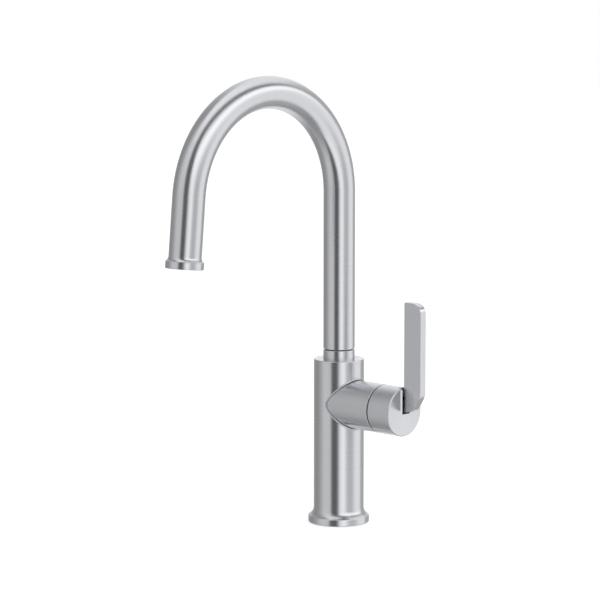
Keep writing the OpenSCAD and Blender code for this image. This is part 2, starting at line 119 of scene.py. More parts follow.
@dataclass(frozen=True)
class StraightAxis:
    """A straight centre line, with the side direction where angle zero is."""

    origin: Triple
    along: Triple
    side: Triple

    def frames(self, s: Array) -> tuple[Array, Array, Array, Array]:
        """The centre line's points and directions.

        A centre is the origin plus the distance times the axis.

        Args:
            s: distances along the axis, of any shape.

        Returns:
            Centres, side, other side and along, each with a last axis of three.
        """
        along, side = np.array(self.along, float), np.array(self.side, float)
        centre = np.array(self.origin, float) + s[..., None] * along
        other = np.cross(along, side)
        return tuple(np.broadcast_to(v, centre.shape) for v in (centre, side, other, along))

    def straightened(self, points: Array) -> Array:
        """Places as (side, other side, distance along) of the axis."""
        away = points - np.array(self.origin, float)
        along, side = np.array(self.along, float), np.array(self.side, float)
        return np.stack([away @ side, away @ np.cross(along, side), away @ along], -1)


@dataclass(frozen=True)
class GooseneckAxis:
    """The spout's centre line: a riser, an arc towards -Y and a straight leg."""

    low_z: float
    riser_top: float
    arc_r: float
    arc_angle: float

    def frames(self, s: Array) -> tuple[Array, Array, Array, Array]:
        """The centre line's points and directions.

        The angle turned is the distance past the riser over the arc's radius,
        held between nothing and the whole arc; what is left over is straight.

        Args:
            s: distances from the riser's foot, of any shape.

        Returns:
            Centres, side, other side and along, each with a last axis of three.
        """
        riser = self.riser_top - self.low_z
        turned = np.clip((s - riser) / self.arc_r, 0, self.arc_angle)
        after = np.maximum(s - riser - self.arc_r * self.arc_angle, 0)
        zero, sine, cosine = np.zeros_like(turned), np.sin(turned), np.cos(turned)
        ways = ((zero + 1, zero, zero), (zero, cosine, sine), (zero, -sine, cosine))
        side, other, along = (np.stack(way, -1) for way in ways)
        height = self.low_z + np.minimum(s, riser) + self.arc_r * sine
        centre = np.stack([zero, self.arc_r * (cosine - 1), height], -1)
        return centre + after[..., None] * along, side, other, along

    def straightened(self, points: Array) -> Array:
        """Places as (side, other side, distance along) of the unbent tube."""
        x, y, z = points[..., 0], points[..., 1] + self.arc_r, points[..., 2] - self.riser_top
        riser = self.riser_top - self.low_z
        turned = np.arctan2(z, y)
        end = self.arc_angle
        leg_far = -y * math.sin(end) + z * math.cos(end)
        leg_out = y * math.cos(end) + z * math.sin(end) - self.arc_r
        bent = np.stack([x, np.hypot(y, z) - self.arc_r, riser + self.arc_r * turned], -1)
        below = np.stack([x, y - self.arc_r, riser + z], -1)
        leg = np.stack([x, leg_out, riser + self.arc_r * end + leg_far], -1)
        on_riser = (z <= 0) & (y > 0)
        on_leg = ((turned > end) | (turned < 0)) & ~on_riser
        return np.where(on_riser[..., None], below, np.where(on_leg[..., None], leg, bent))


Axis = StraightAxis | GooseneckAxis


# ------------------------------------------------------------------- sections


@dataclass(frozen=True)
class Section:
    """A run of straight steps in radius and distance along, with their normals."""

    start: Array
    end: Array
    start_normal: Array
    end_normal: Array

    @property
    def ends(self) -> tuple[tuple[Array, Array], tuple[Array, Array]]:
        """The starts and the ends of the steps, each with their normals."""
        return (self.start, self.start_normal), (self.end, self.end_normal)

    def split(self, longest: float) -> "Section":
        """The same section with each step cut into equal parts.

        Args:
            longest: the most that a part may measure, in mm.

        Returns:
            A section whose points lie evenly between the ends of each step.
        """
        length = np.linalg.norm(self.end - self.start, axis=1)
        count = np.maximum(1, np.ceil(length / longest)).astype(int)
        which = np.repeat(np.arange(len(count)), count)
        step = np.arange(len(which)) - np.repeat(np.cumsum(count) - count, count)
        low, high = (step / count[which])[:, None], ((step + 1) / count[which])[:, None]
        a, b = self.start[which], self.end[which]
        na, nb = self.start_normal[which], self.end_normal[which]
        return Section(a + low * (b - a), a + high * (b - a), na + low * (nb - na), na + high * (nb - na))

    def hollowed(self, centre: Array, r: float) -> "Section":
        """The same section with the normals of a hollow circle on the steps that follow it.

        A point of the hollow is one radius from the circle's centre, and its
        normal points to that centre.

        Args:
            centre: the circle's centre in radius and distance along.
            r: its radius in mm.

        Returns:
            A section with exact normals on the hollow.
        """

        def off(spots: Array) -> Array:
            """How far points lie from the circle."""
            return np.abs(np.linalg.norm(spots - centre, axis=1) - r)

        # A chord of the circle passes close by it, and a straight step beside it doesn't
        chord = off((self.start + self.end) / 2) < 0.05
        normals = []
        for spot, out in self.ends:
            on = (chord & (off(spot) < 1e-6))[:, None]
            normals.append(np.where(on, unit(centre - spot), out))
        return Section(self.start, self.end, *normals)


def section(corners: Sequence[Triple], closed: bool = True, steps: int = 6) -> Section:
    """A section through corners, each rounded by its own radius.

    Walking it with the metal on the left, the outside is on the right. A corner
    is an arc that touches both its sides, with as many steps as asked.

    Args:
        corners: radius, distance along and rounding of each corner, in mm.
        closed: whether the last corner joins the first.
        steps: the steps in each rounding.

    Returns:
        The section, with exact normals on its arcs.
    """
    spots = np.array([c[:2] for c in corners], float)
    rounding = np.array([c[2] for c in corners], float)
    before, after = unit(spots - np.roll(spots, 1, 0)), unit(np.roll(spots, -1, 0) - spots)
    if not closed:
        before[0], after[-1] = after[0], before[-1]
    turned = np.arctan2(cross(before, after), (before * after).sum(1))
    rounding = np.where(np.abs(turned) > 1e-9, rounding, 0)
    inward = np.stack([-before[:, 1], before[:, 0]], 1) * np.sign(turned)[:, None]
    setback = rounding * np.tan(np.abs(turned) / 2)
    swing = np.abs(turned)[:, None] * np.linspace(0, 1, steps + 1)
    arc = (
        (spots - before * setback[:, None])[:, None]
        + rounding[:, None, None] * np.sin(swing)[..., None] * before[:, None]
        + rounding[:, None, None] * (1 - np.cos(swing))[..., None] * inward[:, None]
    )
    way = np.cos(swing)[..., None] * before[:, None] + np.sin(swing)[..., None] * inward[:, None]
    outside = np.stack([way[..., 1], -way[..., 0]], -1)
    lines_a, lines_b = arc[:, -1], np.roll(arc[:, 0], -1, 0)
    line_normal = np.stack([after[:, 1], -after[:, 0]], 1)
    arc_parts = (arc[:, :-1], arc[:, 1:], outside[:, :-1], outside[:, 1:])
    line_parts = (lines_a, lines_b, line_normal, line_normal)
    joined = [np.concatenate([a, b[:, None]], 1) for a, b in zip(arc_parts, line_parts)]
    if not closed:
        joined = [np.concatenate([j[0, -1:], j[1:-1].reshape(-1, 2)]) for j in joined]
    start, end, start_normal, end_normal = (j.reshape(-1, 2) for j in joined)
    real = np.linalg.norm(end - start, axis=1) > 1e-7
    return Section(start[real], end[real], start_normal[real], end_normal[real])


# ---------------------------------------------------------------------- skins


def quads(near: Array, far: Array) -> Array:
    """The four corners of every cell between rows of points and the rows after them."""
    return np.stack([near[:, :-1], near[:, 1:], far[:, 1:], far[:, :-1]], 2)


def looped(row: Array) -> Array:
    """A row of points with its first one again at the end."""
    return np.append(row, row[:1], 0)


def gathered(row: Array, loop: bool = True) -> Array:
    """The middle of a row of points, once for each; a loop repeats its first point."""
    return np.broadcast_to((row[:-1] if loop else row).mean(0), row.shape)


@dataclass
class Skin:
    """A closed skin gathered from four-cornered facets about one centre line."""

    axis: Axis
    grain: Grain = Grain.ROUND
    places: list[Array] = field(default_factory=list)
    normals: list[Array] = field(default_factory=list)

    def facets(self, places: Array, normals: Optional[Array] = None) -> None:
        """Adds facets.

        Args:
            places: corners in mm, anticlockwise from outside, shape (..., 4, 3).
            normals: one for each corner; none means flat facets.
        """
        places = places.reshape(-1, 4, 3)
        if normals is None:
            flat = unit(np.cross(places[:, 2] - places[:, 0], places[:, 3] - places[:, 1]))
            normals = np.repeat(flat[:, None], 4, 1)
        self.places.append(places)
        self.normals.append(unit(normals.reshape(-1, 4, 3)))

    def grid(self, rows: Sequence[Array], normals: Optional[Sequence[Array]] = None) -> None:
        """Adds the facets between the neighbours of a grid of points.

        Args:
            rows: points in mm, shape (m, n, 3); the outside is where the step
                along a row, then the step to the next row, turn anticlockwise.
            normals: of the same shape, or none for flat facets.
        """
        grids = [None if v is None else np.asarray(v) for v in (rows, normals)]
        self.facets(*(None if v is None else quads(v[:-1], v[1:]) for v in grids))

    def sweep(self, shape: Section, angles: Array = ROUND) -> None:
        """Carries a section round the centre line.

        A point is the centre plus its radius times the direction at its angle,
        which is the cosine of the side plus the sine of the other side.

        Args:
            shape: the section in radius and distance along.
            angles: the angles to stop at, in radians.
        """
        spots, outs = [], []
        for spot, out in shape.ends:
            centre, side, other, along = (v[:, None] for v in self.axis.frames(spot[:, 1]))
            away = np.cos(angles)[None, :, None] * side + np.sin(angles)[None, :, None] * other
            spots.append(centre + spot[:, 0, None, None] * away)
            outs.append(out[:, 0, None, None] * away + out[:, 1, None, None] * along)
        self.facets(quads(*spots), quads(*outs))

    def build(self, name: str) -> bpy.types.Object:
        """Welds the facets into one mesh object.

        Corners that fall on the same micrometre are one point. A facet that
        keeps fewer than three points is left out.

        Args:
            name: the piece's name.

        Returns:
            The object, at the origin, with its place in its mesh.
        """
        places, normals = np.concatenate(self.places), np.concatenate(self.normals)
        keys = np.floor(places.reshape(-1, 3) * 1000 + 0.318).astype(np.int64)
        _, first, ids = np.unique(keys, axis=0, return_index=True, return_inverse=True)
        points, ids = places.reshape(-1, 3)[first], ids.reshape(-1, 4)
        keep = ids != np.roll(ids, -1, 1)
        keep &= (ids != np.roll(ids, -2, 1)) | (np.arange(4) > 1)
        whole = keep.sum(1) > 2
        ids, keep, normals, places = ids[whole], keep[whole], normals[whole], places[whole]
        count = keep.sum(1)
        mesh = bpy.data.meshes.new(name)
        mesh.vertices.add(len(points))
        mesh.vertices.foreach_set("co", (points * MM).ravel())
        mesh.loops.add(int(count.sum()))
        mesh.loops.foreach_set("vertex_index", ids[keep])
        mesh.polygons.add(len(count))
        mesh.polygons.foreach_set("loop_start", np.cumsum(count) - count)
        mesh.polygons.foreach_set("use_smooth", np.ones(len(count), bool))
        mesh.update(calc_edges=True)
        self.mark_grain(mesh, points, places, keep)
        mesh.normals_split_custom_set(normals[keep])
        mesh.validate()
        piece = bpy.data.objects.new(name, mesh)
        bpy.context.scene.collection.objects.link(piece)
        return piece

    def mark_grain(self, mesh: bpy.types.Mesh, points: Array, places: Array, keep: Array) -> None:
        """Stores where each point lies along and across the brush marks.

        The attribute "grain" is the place in the straightened-out piece in mm,
        whose last number counts across the marks. The UV map's first direction
        runs across them as well, the way in which they spread a highlight.

        Args:
            mesh: the mesh to mark.
            points: its points in mm.
            places: the facets' corners in mm.
            keep: which of the corners are used.
        """
        own = self.axis.straightened(points)
        corner = self.axis.straightened(places)
        if self.grain is Grain.ROUND:
            own[:, 2] += np.hypot(own[:, 0], own[:, 1])
            along = np.arctan2(corner[..., 1], corner[..., 0]) / TURN
            along -= np.round(along - along[:, :1])
            across = CHART_STEP * corner[..., 2] + CHART_LEAN * np.hypot(corner[..., 0], corner[..., 1])
        else:
            own = np.stack([own[:, 2], 0.1 * own[:, 1], own[:, 0] + own[:, 1]], -1)
            along = CHART_STEP * corner[..., 2]
            across = CHART_STEP * corner[..., 0] + CHART_LEAN * corner[..., 1]
        chart = np.stack([across, along], -1)
        mark = mesh.attributes.new("grain", "FLOAT_VECTOR", "POINT")
        mark.data.foreach_set("vector", own.astype(np.float32).ravel())
        layer = mesh.uv_layers.new(name="brush")
        layer.data.foreach_set("uv", chart[keep].astype(np.float32).ravel())


def steps_between(stops: Sequence[float], longest: float) -> Array:
    """Numbers that pass through every stop, no further apart than the longest step."""
    parts = [
        np.linspace(a, b, max(1, math.ceil(abs(b - a) / longest - 1e-9)), endpoint=False)
        for a, b in zip(stops[:-1], stops[1:])
    ]
    return np.append(np.concatenate(parts), stops[-1])


@dataclass(frozen=True)
class Window:
    """A patch of a round wall with a hole through it, from angle and distance."""

    angles: Array
    distances: Array

    def border(self) -> Array:
        """The patch's edge as (angle, distance), anticlockwise from its low corner."""
        a, s = self.angles, self.distances
        around = ((a, s[0]), (a[-1], s), (a[::-1], s[-1]), (a[0], s[::-1]))
        sides = [np.stack(np.broadcast_arrays(*side), 1) for side in around]
        return np.concatenate([side[:-1] for side in sides[:3]] + sides[3:])


# ------------------------------------------------------------------ materials


def linear(colour: str) -> tuple[float, float, float, float]:
    """An sRGB hex colour as a linear one.

    A channel up to 0.04045 is divided by 12.92; one above it is raised by 0.055,
    divided by 1.055 and put to the power 2.4.

    Args:
        colour: six hex digits after a #.

    Returns:
        Red, green, blue and 1.
    """
    raw = [int(colour[i : i + 2], 16) / 255 for i in (1, 3, 5)]
    return (*(c / 12.92 if c <= 0.04045 else ((c + 0.055) / 1.055) ** 2.4 for c in raw), 1.0)


def add_node(
    tree: bpy.types.NodeTree, kind: str, links: Optional[dict] = None, **settings: object
) -> bpy.types.Node:
    """Adds one node.

    Args:
        tree: the tree that it goes in.
        kind: the node's type, less the "ShaderNode" that it starts with.
        links: what feeds each input, by its name or number: a socket or a value.
        settings: the node's own settings.

    Returns:
        The node.
    """
    node = tree.nodes.new("ShaderNode" + kind)
    for name, value in settings.items():
        setattr(node, name, value)
    for name, source in (links or {}).items():
        if isinstance(source, bpy.types.NodeSocket):
            tree.links.new(source, node.inputs[name])
        else:
            node.inputs[name].default_value = source
    return node


def new_material(name: str) -> tuple[bpy.types.Material, bpy.types.NodeTree, bpy.types.Node]:
    """An empty node material, its tree and its output node."""
    material = bpy.data.materials.new(name)
    material.use_nodes = True
    tree = material.node_tree
    tree.nodes.clear()
    return material, tree, add_node(tree, "OutputMaterial")


@dataclass(frozen=True)
class Finish:
    """What every finish has: two tones that its marks choose between, and its shine."""

    name: str
    light: str
    dark: str
    metallic: float
    roughness: float

    def shade(
        self,
        tree: bpy.types.NodeTree,
        out: bpy.types.Node,
        marks: bpy.types.NodeSocket,
        rough: dict,
        bump: dict,
        look: dict,
    ) -> None:
        """Adds the surface, whose tone and height follow the marks.

        Args:
            tree: the material's tree.
            out: its output node.
            marks: what the tone and the height follow.
            rough: what the roughness is worked out from, as a map range.
            bump: the strength and distance of the marks.
            look: what else feeds the shader.
        """
        tones = {0: marks, 6: linear(self.dark), 7: linear(self.light)}
        tone = add_node(tree, "Mix", tones, data_type="RGBA")
        look = {
            "Base Color": tone.outputs[2],
            "Metallic": self.metallic,
            "Roughness": add_node(tree, "MapRange", rough).outputs[0],
            "Normal": add_node(tree, "Bump", {"Height": marks, **bump}).outputs["Normal"],
            **look,
        }
        shader = add_node(tree, "BsdfPrincipled", look)
        tree.links.new(shader.outputs[0], out.inputs["Surface"])


@dataclass(frozen=True)
class BrushedMetal(Finish):
    """Satin nickel plate, brushed with a fine belt and lacquered thin.

    The marks run round each turned piece, about 0.1 mm apart on the real one. They
    are drawn 0.5 mm apart, because finer ones vanish at this size. They spread a
    highlight across themselves: along the piece twice as far as round it.
    """

    name: str = "satin_nickel_brushed"
    light: str = "#DDDEE1"
    dark: str = "#D2D3D7"
    metallic: float = 1.0
    roughness: float = 0.266
    uneven: float = 0.012
    anisotropy: float = 0.556
    mark_pitch: float = 0.5
    mark_length: float = 45.0
    cloud_scale: float = 0.035
    depth: float = 0.00011

    def material(self) -> bpy.types.Material:
        """The finish as a material that reads the attribute and the UV map of a skin."""
        material, tree, out = new_material(self.name)
        grain = add_node(tree, "Attribute", attribute_name="grain").outputs["Vector"]
        slow, fast = 1 / self.mark_length, 1 / self.mark_pitch
        lay = add_node(tree, "Mapping", {"Vector": grain, "Scale": (slow, slow, fast)}).outputs["Vector"]
        noise = {"Vector": lay, "Scale": 1.0, "Detail": 3.0, "Roughness": 0.65}
        marks = add_node(tree, "TexNoise", noise).outputs["Fac"]
        noise = {"Vector": grain, "Scale": self.cloud_scale, "Detail": 1.0}
        cloud = add_node(tree, "TexNoise", noise).outputs["Fac"]
        both = add_node(tree, "Math", {0: marks, 1: cloud}, operation="ADD").outputs[0]
        brush = add_node(tree, "Tangent", direction_type="UV_MAP", uv_map="brush").outputs["Tangent"]
        # The two noises together mostly lie between 0.6 and 1.4
        rough = {"Value": both, "From Min": 0.6, "From Max": 1.4}
        rough |= {"To Min": self.roughness - self.uneven, "To Max": self.roughness + self.uneven}
        bump = {"Strength": 1.0, "Distance": self.depth * MM}
        self.shade(tree, out, marks, rough, bump, {"Anisotropic": self.anisotropy, "Tangent": brush})
        return material


@dataclass(frozen=True)
class PlainStuff(Finish):
    """A machined, moulded, drawn or lapped solid with its own fine unevenness.

    The pitch is the size of the unevenness in mm: tool marks on brass, the grain
    of a spark-eroded mould on plastic, the bloom on rubber.
    """

    pitch: float
    depth: float
    ior: float = 1.5
    uneven: float = 0.05
    strength: float = 0.6

    def material(self) -> bpy.types.Material:
        """The finish as a material on object coordinates; a metal keeps the default IOR."""
        material, tree, out = new_material(self.name)
        place = add_node(tree, "TexCoord").outputs["Object"]
        noise = {"Vector": place, "Scale": 1 / (self.pitch * MM), "Detail": 3.0}
        speck = add_node(tree, "TexNoise", noise).outputs["Fac"]
        rough = {"Value": speck}
        rough |= {"To Min": self.roughness - self.uneven, "To Max": self.roughness + self.uneven}
        bump = {"Strength": self.strength, "Distance": self.depth * MM}
        self.shade(tree, out, speck, rough, bump, {"IOR": self.ior} if self.metallic < 1 else {})
        return material


# Machined brass: warm yellow, bright with fine turning marks
BRASS = PlainStuff("machined_brass", "#D8B871", "#C7A35C", 1.0, 0.3, 0.6, 0.004)
# Drawn copper tube: reddish, smooth with a faint drawn sheen
COPPER = PlainStuff("drawn_copper", "#C98B67", "#B97A58", 1.0, 0.28, 0.8, 0.003)
# Nitrile rubber: matt near-black with a dusty bloom
RUBBER = PlainStuff("nitrile_rubber", "#2B2B2D", "#202022", 0.0, 0.7, 0.5, 0.01, 1.52)
# Acetal: milky white, slightly waxy moulded surface
ACETAL = PlainStuff("moulded_acetal", "#E8E8E4", "#DCDCD7", 0.0, 0.42, 0.7, 0.006, 1.48)
# Glass-filled nylon: mid grey with a fine moulded grain
NYLON = PlainStuff("grey_nylon", "#7C7E82", "#6E7074", 0.0, 0.5, 0.4, 0.01, 1.53)
# Lapped alumina: cream white, glossy and even
ALUMINA = PlainStuff("lapped_alumina", "#EFEDE2", "#E6E3D6", 0.0, 0.16, 0.5, 0.001, 1.76)
# Ground stainless steel pins and screws: cool, bright, fine-ground
GROUND_STEEL = PlainStuff("ground_steel", "#C9C9CB", "#B9B9BC", 1.0, 0.24, 0.35, 0.003)

SLOT_FINISH = {
    Slot.BRASS: BRASS,
    Slot.COPPER: COPPER,
    Slot.RUBBER: RUBBER,
    Slot.WHITE_PLASTIC: ACETAL,
    Slot.GREY_PLASTIC: NYLON,
    Slot.CERAMIC: ALUMINA,
    Slot.BRIGHT_STEEL: GROUND_STEEL,
}


def place_piece(
    skin: Skin, name: str, body: Body, nodes: Sequence[str], finish: bpy.types.Material
) -> bpy.types.Object:
    """Builds a skin as a piece of the part.

    Args:
        skin: its facets.
        name: the piece's name.
        body: the body that it rides on.
        nodes: the CAD nodes that it stands for.
        finish: its material.

    Returns:
        The piece.
    """
    piece = skin.build(name)
    piece.data.materials.append(finish)
    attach(piece, body.value)
    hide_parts(*nodes)
    LOG.info("%s: %d facets on %s", name, len(piece.data.polygons), body.value)
    return piece


# ---------------------------------------------------------------- the faucet


@dataclass
class Column:
    """The body column: flared foot, tall shell with a side opening, and neck."""

    body_r: float = 20.0
    bore_r: float = 17.0
    height: float = 131.0
    top_t: float = 5.0
    top_round: float = 0.7
    flange_r: float = 24.35
    flange_band: float = 5.456
    flange_round: float = 0.9
    blend_r: float = 7.4
    blend_z: float = 12.2
    neck_r: float = 12.5
    neck_low: float = 123.0
    neck_top: float = 138.4
    neck_round: float = 0.35
    neck_flange_r: float = 15.0
    post_r: float = 9.5
    gasket_in_r: float = 18.5
    gasket_out_r: float = 21.5
    gasket_t: float = 2.0
    valve_z: float = 96.4
    opening_r: float = 19.4
    opening_depth: float = 4.7
    bead_r: float = 0.65
    bead_gap: float = 0.02
    window_half: float = 24.0
    window_rows: int = 33
    quarter_steps: int = 48

    axis = StraightAxis((0, 0, 0), (0, 0, 1), (1, 0, 0))

    @property
    def window(self) -> tuple[float, float]:
        """The heights between which the wall is drawn round the side opening."""
        return self.valve_z - self.window_half, self.valve_z + self.window_half

    def wall(self, r: float, spots: Array, inside: bool = False) -> tuple[Array, Array]:
        """Points and normals of a round wall at (angle, height) spots."""
        angles, heights = spots[..., 0], spots[..., 1]
        away = np.stack([np.cos(angles), np.sin(angles), np.zeros_like(angles)], -1)
        return r * away + heights[..., None] * Z_WAY, -away if inside else away

    def rim(self, border: Array, r: float) -> tuple[Array, Array]:
        """How far the opening's edge lies sideways and up, for each border point.

        A border point at angle a and height z looks towards the opening's angle
        whose tangent is (z - valve height) over (r times the sine of a).
        """
        turned = np.arctan2(border[:, 1] - self.valve_z, r * np.sin(border[:, 0]))
        return self.opening_r * np.cos(turned), self.opening_r * np.sin(turned)

    def opening(self, skin: Skin) -> None:
        """Adds the two walls round the side opening, the bead round it and its sides.

        The opening is a round hole along X, so its edge on the wall of radius R
        is at the angle whose sine is y over R.
        """
        quarter = math.pi / 2
        angles = np.linspace(-quarter, quarter, 2 * self.quarter_steps + 1)
        heights = np.linspace(*self.window, self.window_rows)
        border = Window(angles, heights).border()
        y, dz = self.rim(border, self.body_r)
        slant, z = np.arcsin(y / self.body_r), self.valve_z + dz
        way = unit(np.stack([y / np.cos(slant), dz], -1))
        # The bead's middle line, and its half circle from the outer foot to the inner one
        middle = np.stack([slant * self.body_r, z], -1) + (self.bead_gap + self.bead_r) * way
        swing = np.linspace(0, math.pi, 11)[:, None, None]
        feet = middle + self.bead_r * np.cos(swing) * way
        feet[..., 0] /= self.body_r
        share = np.linspace(0, 1, 13)[:, None, None] ** 1.5
        skin.grid(*self.wall(self.body_r, (feet[0] * (1 - share) + border[None] * share)[::-1]))
        foot, out = self.wall(self.body_r, feet)
        turned = feet[..., 0]
        round_way = np.stack([-np.sin(turned), np.cos(turned), 0 * turned], -1)
        lean = way[:, :1] * round_way + way[:, 1:] * Z_WAY
        skin.grid(foot + self.bead_r * np.sin(swing) * out, np.cos(swing) * lean + np.sin(swing) * out)
        corner = np.stack([np.sqrt(self.body_r**2 - y**2), y, z], -1)
        skin.grid([foot[-1], corner], [out[-1], out[-1]])
        # The hole's side ends on the bore's wall, and beside the bore on a flat at the opening's depth
        into = np.stack([0 * y, -y, -dz], -1) / self.opening_r
        bore_y = math.sqrt(self.bore_r**2 - self.opening_depth**2)
        deep_y = np.clip(y, -bore_y, bore_y)
        deep_x = np.sqrt(self.bore_r**2 - deep_y**2)
        deep, flat = (np.stack([deep_x, v, z], -1) for v in (y, deep_y))
        skin.grid([corner, deep], [into, into])
        skin.grid([deep, flat])
        bore_edge = np.stack([np.arctan2(deep_y, deep_x), z], -1)
        even = np.linspace(0, 1, 5)[:, None, None]
        skin.grid(*self.wall(self.bore_r, bore_edge * (1 - even) + border * even, inside=True))
        back = np.linspace(quarter, 3 * quarter, len(angles))
        rear = np.stack(np.meshgrid(back, heights), -1)
        skin.grid(*self.wall(self.body_r, rear))
        skin.grid(*(v[::-1] for v in self.wall(self.bore_r, rear, inside=True)))

    def shell(self) -> Skin:
        """The column with its foot: a section turned round Z, and the side opening."""
        skin = Skin(self.axis)
        angles = np.linspace(-math.pi / 2, 1.5 * math.pi, 4 * self.quarter_steps + 1)
        (low, high), under = self.window, self.height - self.top_t
        groove = [(self.gasket_in_r, 0, 0), (self.gasket_in_r, self.gasket_t, 0)]
        groove += [(self.gasket_out_r, self.gasket_t, 0), (self.gasket_out_r, 0, 0)]
        # The hollow blend ends where its circle meets the flange's top
        blend = math.acos(1 - (self.flange_r - self.body_r) / self.blend_r)
        swing = np.linspace(blend, 0, 15)[2:]
        hollow_z = self.blend_z - self.blend_r * np.sin(swing)
        hollow = zip(self.body_r + self.blend_r * (1 - np.cos(swing)), hollow_z)
        lower = [(self.bore_r, low, 0), (self.bore_r, 0, BORE_ROUND), *groove]
        lower += [(self.flange_r, z, self.flange_round) for z in (0, self.flange_band)]
        lower += [*((*spot, 0) for spot in hollow), (self.body_r, low, 0)]
        centre = np.array([self.body_r + self.blend_r, self.blend_z])
        skin.sweep(section(lower, closed=False).hollowed(centre, self.blend_r), angles)
        upper = [(self.body_r, high, 0), (self.body_r, self.height, self.top_round)]
        upper += [(self.neck_r, self.height, 0), (self.neck_r, under, 0)]
        upper += [(self.bore_r, under, 0), (self.bore_r, high, 0)]
        skin.sweep(section(upper, closed=False), angles)
        self.opening(skin)
        return skin

    def neck(self) -> Skin:
        """The fixed neck between the column and the spout, turned round Z."""
        skin = Skin(self.axis)
        under = self.height - self.top_t
        shape = [(self.post_r, self.neck_top, 0), (self.post_r, self.neck_low, 0)]
        shape += [(self.neck_flange_r, z, INNER_ROUND) for z in (self.neck_low, under)]
        shape += [(self.neck_r, under, 0), (self.neck_r, self.neck_top, self.neck_round)]
        skin.sweep(section(shape))
        return skin

    def place(self, finish: bpy.types.Material) -> None:
        """Builds the column's pieces."""
        place_piece(self.shell(), "column_shell", Body.BODY, ["body_shell"], finish)
        place_piece(self.neck(), "neck_ring", Body.BODY, ["neck_collar"], finish)


@dataclass
class Spout:
    """The gooseneck tube with the collar at its outlet."""

    tube_r: float = 12.5
    tube_in_r: float = 11.0
    low_z: float = 139.2
    riser_top: float = 262.9
    arc_r: float = 81.2
    arc_angle: float = math.radians(174.6)
    leg: float = 53.7
    low_round: float = 0.45
    band_r: float = 14.6
    band_h: float = 5.0
    flare_h: float = 4.2
    band_round: float = 0.6
    lip_round: float = 0.5
    spigot_h: float = 6.0
    spigot_gap: float = 0.02
    tube_step: float = 1.8
    tube_stops: int = 129
    way_r: float = 9.6
    insert_r: float = 10.75
    insert_depth: float = 1.0

    @property
    def axis(self) -> GooseneckAxis:
        """The tube's centre line."""
        return GooseneckAxis(self.low_z, self.riser_top, self.arc_r, self.arc_angle)

    @property
    def collar_start(self) -> float:
        """Distance along the centre line where the collar's flare begins."""
        bend_end = self.riser_top - self.low_z + self.arc_r * self.arc_angle
        return bend_end + self.leg - self.band_h - self.flare_h

    def tube(self) -> Skin:
        """The tube: a ring-shaped section carried along the gooseneck."""
        skin = Skin(self.axis)
        end = self.collar_start
        shape = [(self.tube_in_r, end, 0), (self.tube_in_r, 0, 0)]
        shape += [(self.tube_r, 0, self.low_round), (self.tube_r, end, 0)]
        skin.sweep(section(shape).split(self.tube_step), np.linspace(0, TURN, self.tube_stops))
        return skin

    def collar(self) -> Skin:
        """The outlet's collar: spigot, hollow flare and band, turned round the leg."""
        skin = Skin(self.axis)
        start, flare_top = self.collar_start, self.collar_start + self.flare_h
        foot, seat, end = start - self.spigot_h, start + self.insert_depth, flare_top + self.band_h
        plug_r = self.tube_in_r - self.spigot_gap
        swing = np.linspace(0, math.acos(1 - (self.band_r - self.tube_r) / self.flare_h), 9)
        flare = zip(self.tube_r + self.flare_h * (1 - np.cos(swing)), start + self.flare_h * np.sin(swing))
        shape = [(self.way_r, seat, 0), (self.way_r, foot, 0), (plug_r, foot, BORE_ROUND), (plug_r, start, 0)]
        shape += [*((*spot, 0) for spot in flare), (self.band_r, flare_top, self.band_round)]
        shape += [(self.band_r, end, self.lip_round)]
        shape += [(self.insert_r, end, BORE_ROUND), (self.insert_r, seat, 0)]
        skin.sweep(section(shape).hollowed(np.array([self.tube_r + self.flare_h, start]), self.flare_h))
        return skin

    def place(self, finish: bpy.types.Material) -> None:
        """Builds the spout's pieces."""
        place_piece(self.tube(), "gooseneck_tube", Body.SPOUT, ["spout_tube"], finish)
        place_piece(self.collar(), "outlet_ring", Body.SPOUT, ["outlet_collar"], finish)


